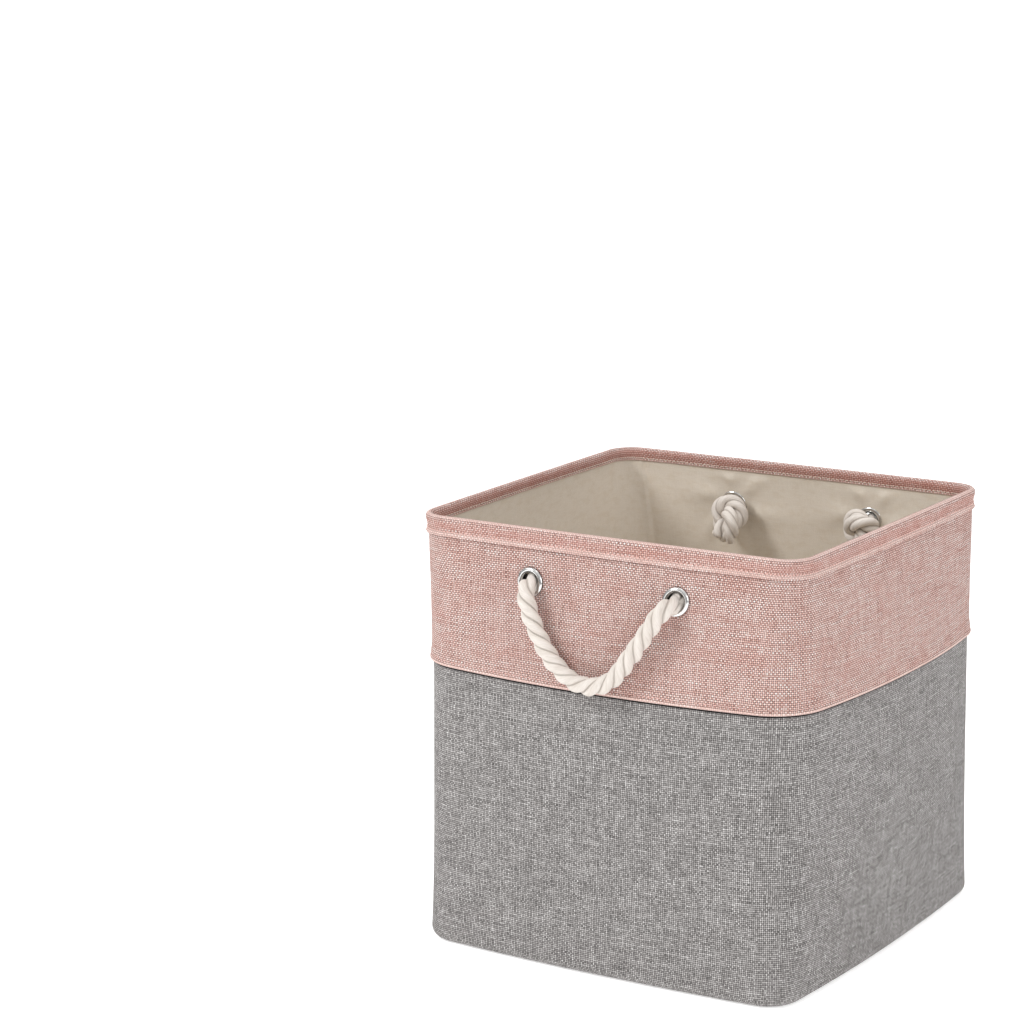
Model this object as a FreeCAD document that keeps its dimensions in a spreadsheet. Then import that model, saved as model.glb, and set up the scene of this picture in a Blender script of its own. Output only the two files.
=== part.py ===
"""Fabric storage bin with rope handles.

The bin is a sewn cloth box: a grey shell with a wide accent band, a lining, boards between the two,
a wire in the rolled rim, a loose covered board on the floor, and a rope handle through two eyelets
in the front wall and in the back wall. Millimetres; origin on the floor at the middle of the base,
+Z up, front wall at -Y. Every outline is a square with bowed sides and round corners, given at three
levels (base, band edge and rim) by the sheet "Sizes"; each cloth layer is lofted through the three,
moved in or out by the layer's own offset.
"""
import FreeCAD, Part
import math
import os

import Sketcher

V = FreeCAD.Vector
UP = V(0, 0, 1)
LEVELS = ("base", "band", "rim")

SIZES = {
    # outline of the shell's outer face at the three levels
    "base_level": 0, "base_width": 325, "base_depth": 337, "base_bow": 5.7, "base_corner": 28,
    "band_level": 217, "band_width": 342.6, "band_depth": 333, "band_bow": 13.3, "band_corner": 41,
    "rim_level": 330, "rim_width": 322, "rim_depth": 301, "rim_bow": 0.8, "rim_corner": 20,
    "bow_span": 300,
    # cloths and boards, from the outside in
    "band_cloth": 1.0, "shell_cloth": 1.0, "wall_board": 1.5, "lining_cloth": 0.7, "layer_gap": 0.2,
    "bottom_cloth": 1.5, "board_start": 4, "board_end": 308, "board_corner": 48, "cloth_end": 324,
    # rolled rim and its wire
    "binding_cloth": 0.8, "hem_outside": 14, "hem_inside": 10, "wire": 3, "wire_drop": 3.5,
    "wire_offset": -0.65, "ferrule": 4.2, "ferrule_bore": 3.2, "ferrule_length": 16,
    # stitching
    "thread": 0.6, "hem_stitch_rise": 1.8, "band_stitch_rise": 3.6, "lining_stitch_rise": 2.0,
    # eyelets
    "eyelet_level": 291, "eyelet_spacing": 122, "eyelet_shift": 4, "eyelet_bore": 14,
    "eyelet_wall": 0.6, "eyelet_flange": 22, "flange_height": 2.2, "wall_hole": 17.5,
    "washer": 1.0, "eyelet_tail": 6.4,
    # ropes
    "rope": 13, "pivot_gap": 0.5, "knot_width": 34, "knot_thick": 26, "knot_height": 31,
    "knot_gap": 1.5, "knot_tail": 15,
    # loose board on the floor
    "insert_width": 304, "insert_depth": 308, "insert_corner": 54, "insert_board": 2.5,
    "insert_cover": 0.6, "insert_start": 2.8,
}

# control points of the hanging part of the front rope, from pivot to pivot
ROPE_ROUTE = (
    (-57, -169, 293),
    (-53, -171, 281),
    (-47.5, -172, 267),
    (-38, -173.5, 250.5),
    (-25.5, -175, 236),
    (-9, -176.5, 225),
    (8, -177, 224),
    (23.5, -176.5, 231),
    (35, -175, 247),
    (45.5, -173.5, 262.5),
    (56.3, -172, 279.2),
    (65, -169, 293),
)

doc = FreeCAD.newDocument("fabric_storage_bin")
sheet = doc.addObject("Spreadsheet::Sheet", "Sizes")
for row, (alias, number) in enumerate(SIZES.items(), start=1):
    sheet.set(f"A{row}", alias)
    sheet.set(f"B{row}", str(number))
    sheet.setAlias(f"B{row}", alias)
doc.recompute()

parts = []


def value(expression):
    """Number that an expression on the sheet gives."""
    return float(sheet.evalExpression(expression))


def keep(feature, label):
    """Name a finished sub-part and put it on the list to write."""
    feature.Label = label
    parts.append(feature)
    return feature


def plane_of(body, role):
    return next(item for item in body.Origin.OriginFeatures if item.Role == role)


def new_sketch(body, name, plane="XY_Plane", rise="0"):
    """Sketch on one of the body's own origin planes, moved along the plane's normal."""
    sketch = body.newObject("Sketcher::SketchObject", name)
    sketch.AttachmentSupport = [(plane_of(body, plane), "")]
    sketch.MapMode = "FlatFace"
    sketch.setExpression("AttachmentOffset.Base.z", rise)
    return sketch


def drive(sketch, constraint, expression):
    """Add a dimension and bind it to the sheet."""
    index = sketch.addConstraint(constraint)
    sketch.setExpression(f"Constraints[{index}]", expression)


def add_outline(sketch, level, offset):
    """Bowed square with round corners: four wall arcs and four corner arcs, tangent in a ring."""
    bow_radius = f"Sizes.bow_span^2 / (8 * Sizes.{level}_bow)"
    reach_x = f"{bow_radius} - Sizes.{level}_width / 2"
    reach_y = f"{bow_radius} - Sizes.{level}_depth / 2"
    corner = f"Sizes.{level}_corner + ({offset})"
    wall = f"{bow_radius} + ({offset})"
    shift_x, shift_y, wall_r, corner_r = (value(item) for item in (reach_x, reach_y, wall, corner))
    apart = math.hypot(shift_x, shift_y)
    rise = math.sqrt((wall_r - corner_r) ** 2 - apart ** 2 / 4)
    corner_x = rise * shift_y / apart - shift_x / 2
    corner_y = rise * shift_x / apart - shift_y / 2
    low = math.atan2(corner_y, corner_x + shift_x)
    high = math.atan2(corner_y + shift_y, corner_x)
    half, full = math.pi, 2 * math.pi
    arcs = (
        (-shift_x, 0, wall_r, -low, low),
        (corner_x, corner_y, corner_r, low, high),
        (0, -shift_y, wall_r, high, half - high),
        (-corner_x, corner_y, corner_r, half - high, half - low),
        (shift_x, 0, wall_r, half - low, half + low),
        (-corner_x, -corner_y, corner_r, half + low, half + high),
        (0, shift_y, wall_r, half + high, full - high),
        (corner_x, -corner_y, corner_r, full - high, full - low),
    )
    for x, y, radius, start, end in arcs:
        sketch.addGeometry(Part.ArcOfCircle(Part.Circle(V(x, y, 0), UP, radius), start, end))
    for index in range(8):
        sketch.addConstraint(Sketcher.Constraint("Tangent", index, 2, (index + 1) % 8, 1))
    for index, axis in ((0, -1), (2, -2), (4, -1), (6, -2)):
        sketch.addConstraint(Sketcher.Constraint("PointOnObject", index, 3, axis))
    for index in (2, 4, 6):
        sketch.addConstraint(Sketcher.Constraint("Equal", 0, index))
        sketch.addConstraint(Sketcher.Constraint("Equal", 1, index + 1))
    drive(sketch, Sketcher.Constraint("Radius", 0, wall_r), wall)
    drive(sketch, Sketcher.Constraint("Radius", 1, corner_r), corner)
    drive(sketch, Sketcher.Constraint("DistanceX", 0, 3, -1, 1, shift_x), reach_x)
    drive(sketch, Sketcher.Constraint("DistanceX", -1, 1, 4, 3, shift_x), reach_x)
    drive(sketch, Sketcher.Constraint("DistanceY", 2, 3, -1, 1, shift_y), reach_y)
    drive(sketch, Sketcher.Constraint("DistanceY", -1, 1, 6, 3, shift_y), reach_y)


def add_polygon(sketch, corners):
    """Closed polygon whose corners are pairs of expressions on the sheet."""
    first = sketch.GeometryCount
    count = len(corners)
    points = [V(value(x), value(y), 0) for x, y in corners]
    for index, point in enumerate(points):
        sketch.addGeometry(Part.LineSegment(point, points[(index + 1) % count]))
    for index in range(count):
        line = first + index
        following = first + (index + 1) % count
        sketch.addConstraint(Sketcher.Constraint("Coincident", line, 2, following, 1))
    for index, (x, y) in enumerate(corners):
        line = first + index
        drive(sketch, Sketcher.Constraint("DistanceX", -1, 1, line, 1, points[index].x), x)
        drive(sketch, Sketcher.Constraint("DistanceY", -1, 1, line, 1, points[index].y), y)


def add_rectangle(sketch, x_low, y_low, x_high, y_high):
    add_polygon(sketch, ((x_low, y_low), (x_high, y_low), (x_high, y_high), (x_low, y_high)))


def add_circle(sketch, x, y, diameter):
    """Circle whose centre and diameter are expressions on the sheet."""
    centre = V(value(x), value(y), 0)
    index = sketch.addGeometry(Part.Circle(centre, UP, value(diameter) / 2))
    drive(sketch, Sketcher.Constraint("DistanceX", -1, 1, index, 3, centre.x), x)
    drive(sketch, Sketcher.Constraint("DistanceY", -1, 1, index, 3, centre.y), y)
    drive(sketch, Sketcher.Constraint("Diameter", index, value(diameter)), diameter)


def add_loft(body, kind, offset):
    """Loft through the three levels of the wall, moved out by the offset."""
    outlines = []
    for level in LEVELS:
        sketch = new_sketch(body, f"{level}_outline", rise=f"Sizes.{level}_level")
        add_outline(sketch, level, offset)
        outlines.append(sketch)
    loft = body.newObject(kind, "wall_loft")
    loft.Profile = outlines[0]
    loft.Sections = outlines[1:]
    for sketch in outlines:
        sketch.Visibility = False
    return loft


def cut_through(body, sketch, both_ways=False, upward=False):
    """Pocket through everything below the sketch, above it, or both."""
    pocket = body.newObject("PartDesign::Pocket", "trim")
    pocket.Profile = sketch
    pocket.Type = "ThroughAll"
    pocket.Midplane = both_ways
    pocket.Reversed = upward
    return pocket


def trim_level(body, level, upward):
    """Cut away the layer above or below a level."""
    sketch = new_sketch(body, "trim_plane", rise=level)
    reach = "Sizes.band_width"
    add_rectangle(sketch, f"-{reach}", f"-{reach}", reach, reach)
    cut_through(body, sketch, upward=upward)


def punch_eyelet_holes(body):
    """Two holes in the front wall and two in the back wall, in line with each other."""
    sketch = new_sketch(body, "eyelet_holes", plane="XZ_Plane")
    for side in (-1, 1):
        across = f"Sizes.eyelet_shift + ({side}) * Sizes.eyelet_spacing / 2"
        add_circle(sketch, across, "Sizes.eyelet_level", "Sizes.wall_hole")
    cut_through(body, sketch, both_ways=True)


def cloth_layer(name, outer, inner, low=None, high=None, punched=False):
    """Layer of the wall between two offsets, all the way round, from one level to another."""
    body = doc.addObject("PartDesign::Body", name)
    body.Placement = FreeCAD.Placement()
    add_loft(body, "PartDesign::AdditiveLoft", outer)
    add_loft(body, "PartDesign::SubtractiveLoft", inner)
    if low:
        trim_level(body, low, upward=False)
    if high:
        trim_level(body, high, upward=True)
    if punched:
        punch_eyelet_holes(body)
    return body


def flat_sheet(name, offset, low, thickness):
    """Flat sheet with the base outline."""
    body = doc.addObject("PartDesign::Body", name)
    sketch = new_sketch(body, "sheet_outline", rise=low)
    add_outline(sketch, "base", offset)
    pad = body.newObject("PartDesign::Pad", "sheet")
    pad.Profile = sketch
    pad.setExpression("Length", thickness)
    return body


# offsets of the layers from the shell's outer face
BAND_IN = "Sizes.layer_gap"
BAND_OUT = "Sizes.layer_gap + Sizes.band_cloth"
SHELL_IN = "-Sizes.shell_cloth"
BOARD_OUT = f"{SHELL_IN} - Sizes.layer_gap"
BOARD_IN = f"{BOARD_OUT} - Sizes.wall_board"
LINING_OUT = f"{BOARD_IN} - Sizes.layer_gap"
LINING_IN = f"{LINING_OUT} - Sizes.lining_cloth"
CHANNEL_OUT = f"{BAND_OUT} + Sizes.layer_gap"
CHANNEL_IN = f"{LINING_IN} - Sizes.layer_gap"
HEM_OUT = f"{CHANNEL_OUT} + Sizes.binding_cloth"
HEM_IN = f"{CHANNEL_IN} - Sizes.binding_cloth"
HEM_LOW = "Sizes.rim_level - Sizes.hem_outside"
HEM_INNER_LOW = "Sizes.rim_level - Sizes.hem_inside"
LINING_LOW = "Sizes.insert_start - Sizes.layer_gap"


def make_cloths():
    """Shell, accent band, lining and the two flat sheets of the base."""
    shell = cloth_layer("outer_wall", "0", SHELL_IN, high="Sizes.cloth_end", punched=True)
    keep(shell, "outer_wall")
    band = cloth_layer("accent_band", BAND_OUT, BAND_IN, "Sizes.band_level", "Sizes.cloth_end", True)
    keep(band, "accent_band")
    lining = cloth_layer("lining_wall", LINING_OUT, LINING_IN, LINING_LOW, "Sizes.cloth_end", True)
    keep(lining, "lining_wall")
    bottom = flat_sheet("outer_bottom", BOARD_OUT, "0", "Sizes.bottom_cloth")
    keep(bottom, "outer_bottom")
    floor_low = "Sizes.bottom_cloth + Sizes.layer_gap"
    floor = flat_sheet("lining_floor", BOARD_OUT, floor_low, "Sizes.lining_cloth")
    keep(floor, "lining_floor")


def make_wall_boards():
    """Four stiff boards, one in each wall, that stop short of the round corners."""
    clear_x = "Sizes.base_width / 2 - Sizes.board_corner"
    clear_y = "Sizes.base_depth / 2 - Sizes.board_corner"
    far = "Sizes.band_width"
    windows = {
        "front_wall_board": (f"-({clear_x})", f"-{far}", clear_x, f"-({clear_y})"),
        "back_wall_board": (f"-({clear_x})", clear_y, clear_x, far),
        "left_wall_board": (f"-{far}", f"-({clear_y})", f"-({clear_x})", clear_y),
        "right_wall_board": (clear_x, f"-({clear_y})", far, clear_y),
    }
    for name, window in windows.items():
        punched = name.startswith(("front", "back"))
        body = cloth_layer(name, BOARD_OUT, BOARD_IN, "Sizes.board_start", "Sizes.board_end", punched)
        sketch = new_sketch(body, "board_window", rise="Sizes.rim_level")
        margin = "2 * Sizes.band_width"
        add_rectangle(sketch, f"-{margin}", f"-{margin}", margin, margin)
        add_rectangle(sketch, *window)
        cut_through(body, sketch)
        keep(body, name)


def make_rim():
    """Rolled binding as an upside-down channel, with the rim wire and its crimped sleeve inside."""
    crown_low = "Sizes.rim_level - Sizes.binding_cloth"
    strips = [
        cloth_layer("binding_outside", HEM_OUT, CHANNEL_OUT, HEM_LOW),
        cloth_layer("binding_crown", CHANNEL_OUT, CHANNEL_IN, crown_low),
        cloth_layer("binding_inside", CHANNEL_IN, HEM_IN, HEM_INNER_LOW),
    ]
    binding = doc.addObject("Part::MultiFuse", "rim_binding")
    binding.Shapes = strips
    keep(binding, "rim_binding")

    wire = doc.addObject("PartDesign::Body", "rim_wire")
    path = new_sketch(wire, "wire_path", rise="Sizes.rim_level - Sizes.wire_drop")
    add_outline(path, "rim", "Sizes.wire_offset")
    section = new_sketch(wire, "wire_section", plane="XZ_Plane")
    middle = "Sizes.rim_width / 2 + Sizes.wire_offset"
    add_circle(section, middle, "Sizes.rim_level - Sizes.wire_drop", "Sizes.wire")
    pipe = wire.newObject("PartDesign::AdditivePipe", "wire_pipe")
    pipe.Profile = section
    pipe.Spine = path
    keep(wire, "rim_wire")

    sleeve = doc.addObject("PartDesign::Body", "wire_sleeve")
    ring = new_sketch(sleeve, "sleeve_section", plane="YZ_Plane")
    back = "Sizes.rim_depth / 2 + Sizes.wire_offset"
    for diameter in ("Sizes.ferrule", "Sizes.ferrule_bore"):
        add_circle(ring, back, "Sizes.rim_level - Sizes.wire_drop", diameter)
    pad = sleeve.newObject("PartDesign::Pad", "sleeve_tube")
    pad.Profile = ring
    pad.Midplane = True
    pad.setExpression("Length", "Sizes.ferrule_length")
    keep(sleeve, "wire_sleeve")


def make_stitching():
    """One run of thread round the hem, one above the band's edge and one inside under the rim."""
    gap = "Sizes.layer_gap / 2"
    runs = {
        "hem_stitching": (f"{HEM_LOW} + Sizes.hem_stitch_rise", f"{HEM_OUT} + {gap}", 1),
        "band_stitching": ("Sizes.band_level + Sizes.band_stitch_rise", f"{BAND_OUT} + {gap}", 1),
        "lining_stitching": (f"{HEM_INNER_LOW} + Sizes.lining_stitch_rise", f"{HEM_IN} - {gap}", -1),
    }
    for name, (level, near, way) in runs.items():
        far = f"{near} + ({way}) * Sizes.thread"
        outer, inner = (far, near) if way > 0 else (near, far)
        keep(cloth_layer(name, outer, inner, level, f"{level} + Sizes.thread"), name)


def wall_seat(wall, x, side):
    """Point on the wall's outer face at an eyelet, and the direction straight out of it."""
    level = value("Sizes.eyelet_level")
    step = 8

    def face(across, up):
        ray = Part.makeLine(V(across, 0, up), V(across, side * value("Sizes.band_depth"), up))
        return max((v.Point for v in wall.common(ray).Vertexes), key=lambda point: side * point.y)

    along = face(x + step, level) - face(x - step, level)
    upward = face(x, level + step) - face(x, level - step)
    normal = along.cross(upward) * -side
    normal.normalize()
    return face(x, level), normal


def spun(name, profile):
    """Body turned about its own Z axis from a profile of radius and height expressions."""
    body = doc.addObject("PartDesign::Body", name)
    sketch = new_sketch(body, "profile", plane="XZ_Plane")
    add_polygon(sketch, profile)
    turn = body.newObject("PartDesign::Revolution", "turned")
    turn.Profile = sketch
    turn.ReferenceAxis = (sketch, ["V_Axis"])
    turn.Angle = 360
    return body


def make_eyelet(name, seat, normal):
    """Eyelet with a domed flange outside and a barrel through the wall."""
    bore = "Sizes.eyelet_bore / 2"
    barrel = f"{bore} + Sizes.eyelet_wall"
    flange = "Sizes.eyelet_flange / 2"
    low = "Sizes.layer_gap"
    top = f"{low} + Sizes.flange_height"
    profile = (
        (bore, "-Sizes.eyelet_tail"),
        (barrel, "-Sizes.eyelet_tail"),
        (barrel, low),
        (flange, low),
        (flange, f"{low} + Sizes.flange_height * 0.35"),
        (f"{flange} - 1", f"{top} - 0.4"),
        (f"{flange} - 2.2", top),
        (f"{bore} + 0.9", f"{top} - 0.3"),
        (bore, f"{top} - 1.2"),
    )
    body = spun(name, profile)
    body.Placement = FreeCAD.Placement(seat, FreeCAD.Rotation(UP, normal))
    keep(body, name)


def make_washer(name, seat, normal):
    """Flat ring on the lining that the eyelet's barrel is rolled over."""
    inner = "Sizes.eyelet_bore / 2 + Sizes.eyelet_wall + Sizes.layer_gap"
    outer = "Sizes.eyelet_flange / 2"
    top = f"({LINING_IN}) - ({BAND_OUT}) - Sizes.layer_gap"
    profile = (
        (inner, f"{top} - Sizes.washer"),
        (outer, f"{top} - Sizes.washer"),
        (outer, top),
        (inner, top),
    )
    body = spun(name, profile)
    body.Placement = FreeCAD.Placement(seat, FreeCAD.Rotation(UP, normal))
    keep(body, name)


def make_rope_end(name, seat, pivot):
    """Fixed end of a rope: a straight run through the eyelet and the overhand knot behind it."""
    outward = (pivot - seat).normalize()
    turn = FreeCAD.Rotation(UP, outward)
    knot_centre = value("-(Sizes.eyelet_tail + Sizes.knot_gap + Sizes.knot_thick / 2)")
    centre = seat + outward * knot_centre

    ball = doc.addObject("Part::Ellipsoid", f"{name}_ball")
    ball.Angle1 = -90
    ball.setExpression("Radius1", "Sizes.knot_thick / 2")
    ball.setExpression("Radius2", "Sizes.knot_width / 2")
    ball.setExpression("Radius3", "Sizes.knot_height / 2")
    ball.Placement = FreeCAD.Placement(centre, turn)

    tail = doc.addObject("Part::Cylinder", f"{name}_tail")
    tail.setExpression("Radius", "Sizes.rope / 2")
    tail.setExpression("Height", "Sizes.knot_tail + Sizes.knot_thick / 2")
    down_and_in = V(0, -outward.y, -1.2)
    tail.Placement = FreeCAD.Placement(centre, FreeCAD.Rotation(UP, down_and_in))

    knot = doc.addObject("Part::Fuse", f"{name}_knot")
    knot.Base = ball
    knot.Tool = tail
    keep(knot, f"{name}_rope_knot")

    run = doc.addObject("Part::Cylinder", f"{name}_run")
    run.setExpression("Radius", "Sizes.rope / 2")
    length = (pivot - centre).Length - value("Sizes.rope / 2 + Sizes.pivot_gap")
    run.Height = length
    run.Placement = FreeCAD.Placement(centre, turn)
    rope_end = doc.addObject("Part::Cut", f"{name}_rope_end")
    rope_end.Base = run
    rope_end.Tool = ball
    keep(rope_end, f"{name}_rope_end")


def rope_path(points):
    """Straight runs joined by tangent arcs, each as large as its two runs allow."""
    edges = []
    start = points[0]
    radii = []
    for before, corner, after in zip(points, points[1:], points[2:]):
        arrive = corner - before
        leave = after - corner
        half_turn = arrive.getAngle(leave) / 2
        reach = 0.45 * min(arrive.Length, leave.Length)
        radius = reach / math.tan(half_turn)
        arrive.normalize()
        leave.normalize()
        first = corner - arrive * reach
        last = corner + leave * reach
        inward = (leave - arrive).normalize()
        middle = corner + inward * (radius / math.cos(half_turn) - radius)
        edges.append(Part.LineSegment(start, first).toShape())
        edges.append(Part.Arc(first, middle, last).toShape())
        start = last
        radii.append(round(radius))
    edges.append(Part.LineSegment(start, points[-1]).toShape())
    return Part.Wire(edges), radii


def make_rope_loop(name, points):
    """Hanging loop of a rope handle, with a ball end at each pivot."""
    radius = value("Sizes.rope / 2")
    path, radii = rope_path(points)
    circle = Part.Wire(Part.Circle(points[0], points[1] - points[0], radius).toShape())
    tube = path.makePipeShell([circle], True, True)
    section = math.pi * radius ** 2
    share = tube.Volume / (section * path.Length)
    print(name, "arc radii", radii, "length", round(path.Length, 1), "volume ratio", round(share, 4))
    balls = [Part.makeSphere(radius, point) for point in (points[0], points[-1])]
    loop = doc.addObject("Part::Feature", name)
    loop.Shape = tube.fuse(balls).removeSplitter()
    loop.Placement = FreeCAD.Placement()
    keep(loop, name)


def make_handles():
    """Front and back rope handles with their eyelets, washers and knots."""
    probe = doc.addObject("PartDesign::Body", "wall_probe")
    add_loft(probe, "PartDesign::AdditiveLoft", BAND_OUT)
    doc.recompute()
    for place, side in (("front", -1), ("back", 1)):
        points = [V(x, -side * y, z) for x, y, z in ROPE_ROUTE]
        for hand, pivot in (("left", points[0]), ("right", points[-1])):
            seat, normal = wall_seat(probe.Shape, pivot.x, side)
            make_eyelet(f"{place}_{hand}_eyelet", seat, normal)
            make_washer(f"{place}_{hand}_washer", seat, normal)
            make_rope_end(f"{place}_{hand}", seat, pivot)
        make_rope_loop(f"{place}_rope_loop", points)
        print(place, "pivot", points[0], "seat", seat, "normal", normal)


def rounded_sheet(name, grow, low, thickness):
    """Flat rounded rectangle of the loose board, grown by an amount all round."""
    body = doc.addObject("PartDesign::Body", name)
    sketch = new_sketch(body, "board_outline", rise=low)
    half_x = f"Sizes.insert_width / 2 + ({grow})"
    half_y = f"Sizes.insert_depth / 2 + ({grow})"
    add_rectangle(sketch, f"-({half_x})", f"-({half_y})", half_x, half_y)
    pad = body.newObject("PartDesign::Pad", "board")
    pad.Profile = sketch
    pad.setExpression("Length", thickness)
    doc.recompute()
    upright = [f"Edge{index}" for index, edge in enumerate(pad.Shape.Edges, start=1)
               if abs(edge.tangentAt(edge.FirstParameter).z) > 0.99]
    fillet = body.newObject("PartDesign::Fillet", "round_corners")
    fillet.Base = (pad, upright)
    fillet.setExpression("Radius", f"Sizes.insert_corner + ({grow})")
    return body


def make_insert():
    """Loose floor board in its cloth cover."""
    board_low = "Sizes.insert_start + Sizes.insert_cover + Sizes.layer_gap / 2"
    board = rounded_sheet("floor_board", "0", board_low, "Sizes.insert_board")
    keep(board, "floor_board")
    grow = "Sizes.insert_cover + Sizes.layer_gap / 2"
    height = "Sizes.insert_board + 2 * Sizes.insert_cover + Sizes.layer_gap"
    skin = rounded_sheet("cover_skin", grow, "Sizes.insert_start", height)
    hollow = rounded_sheet("cover_hollow", "Sizes.layer_gap / 2", "Sizes.insert_start + Sizes.insert_cover",
                           "Sizes.insert_board + Sizes.layer_gap")
    cover = doc.addObject("Part::Cut", "floor_board_cover")
    cover.Base = skin
    cover.Tool = hollow
    keep(cover, "floor_board_cover")


def check_and_write():
    """Stop on any failed object or bad sub-part, then write one STEP file for each sub-part."""
    doc.recompute()
    for item in doc.Objects:
        if any(word in item.State for word in ("Invalid", "Error")):
            raise RuntimeError(f"{item.Name} failed: {item.State}")
    for item in parts:
        if item.Shape.isNull() or not item.Shape.isValid() or item.Shape.Volume <= 0:
            raise RuntimeError(f"{item.Label} has a bad shape")
    os.makedirs("parts", exist_ok=True)
    for item in parts:
        item.Shape.exportStep(f"parts/{item.Label}.step")
        box = item.Shape.optimalBoundingBox(False, False)
        print(
            f"{item.Label}: {len(item.Shape.Solids)} solid, {item.Shape.Volume:.0f} mm3,",
            f"x {box.XMin:.1f} {box.XMax:.1f}",
            f"y {box.YMin:.1f} {box.YMax:.1f}",
            f"z {box.ZMin:.1f} {box.ZMax:.1f}",
        )


make_cloths()
make_wall_boards()
make_rim()
make_stitching()
make_handles()
make_insert()
check_and_write()
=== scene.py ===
import math

import bpy
import numpy as np
from mathutils import Matrix, Vector


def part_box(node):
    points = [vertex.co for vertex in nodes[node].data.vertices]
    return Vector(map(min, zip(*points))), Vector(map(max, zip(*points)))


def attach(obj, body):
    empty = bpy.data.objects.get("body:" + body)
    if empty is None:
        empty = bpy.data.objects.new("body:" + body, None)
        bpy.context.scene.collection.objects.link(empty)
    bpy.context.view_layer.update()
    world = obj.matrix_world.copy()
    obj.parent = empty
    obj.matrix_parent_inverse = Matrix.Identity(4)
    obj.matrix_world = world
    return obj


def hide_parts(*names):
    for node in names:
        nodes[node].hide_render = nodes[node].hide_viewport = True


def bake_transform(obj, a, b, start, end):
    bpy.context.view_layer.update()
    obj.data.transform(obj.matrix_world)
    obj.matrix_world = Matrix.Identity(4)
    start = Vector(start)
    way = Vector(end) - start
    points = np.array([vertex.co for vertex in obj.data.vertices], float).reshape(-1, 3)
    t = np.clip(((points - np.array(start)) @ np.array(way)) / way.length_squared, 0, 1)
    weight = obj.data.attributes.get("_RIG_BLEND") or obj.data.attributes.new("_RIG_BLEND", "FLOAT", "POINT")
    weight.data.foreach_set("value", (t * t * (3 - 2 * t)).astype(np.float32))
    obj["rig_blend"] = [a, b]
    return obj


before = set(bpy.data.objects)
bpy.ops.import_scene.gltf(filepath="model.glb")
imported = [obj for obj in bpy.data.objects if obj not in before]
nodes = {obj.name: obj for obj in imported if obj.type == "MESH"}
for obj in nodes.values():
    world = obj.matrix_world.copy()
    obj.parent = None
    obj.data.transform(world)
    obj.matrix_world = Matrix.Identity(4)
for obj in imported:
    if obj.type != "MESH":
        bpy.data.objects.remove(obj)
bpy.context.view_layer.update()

MM = 0.001
TAU = 2 * math.pi
UP = Vector((0, 0, 1))
rng = np.random.default_rng(11)


# ---------------------------------------------------------------- camera

CAMERA_PLACE = Vector((1.1738, -2.1044, 0.8481))
CAMERA_AIM = Vector((-0.5267, 0.8227, -0.2140)).normalized()
CAMERA_ROLL = -0.0101
CAMERA_LENS = 113.75
SENSOR_WIDTH = 36


def make_camera():
    data = bpy.data.cameras.new("camera")
    data.lens = CAMERA_LENS
    data.sensor_width = SENSOR_WIDTH
    data.clip_start, data.clip_end = 0.05, 100
    cam = bpy.data.objects.new("camera", data)
    bpy.context.scene.collection.objects.link(cam)
    right = CAMERA_AIM.cross(UP).normalized()
    down = CAMERA_AIM.cross(right)
    side = right * math.cos(CAMERA_ROLL) - down * math.sin(CAMERA_ROLL)
    under = right * math.sin(CAMERA_ROLL) + down * math.cos(CAMERA_ROLL)
    turn = Matrix((side, -under, -CAMERA_AIM)).transposed()
    cam.matrix_world = Matrix.Translation(CAMERA_PLACE) @ turn.to_4x4()
    bpy.context.scene.camera = cam


make_camera()


# ---------------------------------------------------------------- meshes

def new_mesh(name, points, faces, uvs=None, smooth=True):
    """A mesh object from arrays. uvs holds one pair for each corner of each face."""
    mesh = bpy.data.meshes.new(name)
    mesh.from_pydata([tuple(p) for p in points], [], [tuple(f) for f in faces])
    if uvs is not None:
        layer = mesh.uv_layers.new(name="UVMap")
        layer.data.foreach_set("uv", np.asarray(uvs, np.float32).ravel())
    mesh.polygons.foreach_set("use_smooth", [smooth] * len(mesh.polygons))
    mesh.update()
    obj = bpy.data.objects.new(name, mesh)
    bpy.context.scene.collection.objects.link(obj)
    return obj


def grid_faces(rows, columns, closed=False):
    """Quads of a grid whose points run along each row first, with each quad's row and column. Its last column
    joins its first, and a closed grid's last row joins its first row too."""
    i, j = np.meshgrid(np.arange(rows if closed else rows - 1), np.arange(columns), indexing="ij")
    i, j = i.ravel(), j.ravel()
    row, next_row = i * columns, (i + 1) % rows * columns
    after = (j + 1) % columns
    return np.stack([row + j, row + after, next_row + after, next_row + j], 1), i, j


def settle(obj, body, material, replaced=()):
    """Puts a finished piece on its body, with its material."""
    obj.data.materials.clear()
    obj.data.materials.append(material)
    if "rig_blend" not in obj:
        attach(obj, body)
    if replaced:
        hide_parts(*replaced)
    return obj


# ---------------------------------------------------------------- the walls' shape

# The shell's outer face is a square with bowed sides and round corners, given at the base, the band's lower
# edge and the rim. Its half sizes come from CAD parts that lie a known way inside or outside it.
RIM_Z = 0.330
BAND_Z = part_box("accent_band")[0].z
BOTTOM_INSIDE = 1.2 * MM
BAND_OUTSIDE = 1.2 * MM
WIRE_OUTSIDE = 0.85 * MM
BASE_HALF = [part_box("outer_bottom")[1][k] + BOTTOM_INSIDE for k in (0, 1)]
BAND_HALF = [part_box("accent_band")[1][k] - BAND_OUTSIDE for k in (0, 1)]
RIM_HALF = [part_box("rim_wire")[1][k] - WIRE_OUTSIDE for k in (0, 1)]
BOWS = (5.7 * MM, 13.3 * MM, 0.8 * MM)
CORNERS = (28 * MM, 41 * MM, 20 * MM)
BOW_SPAN = 0.300


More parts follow.
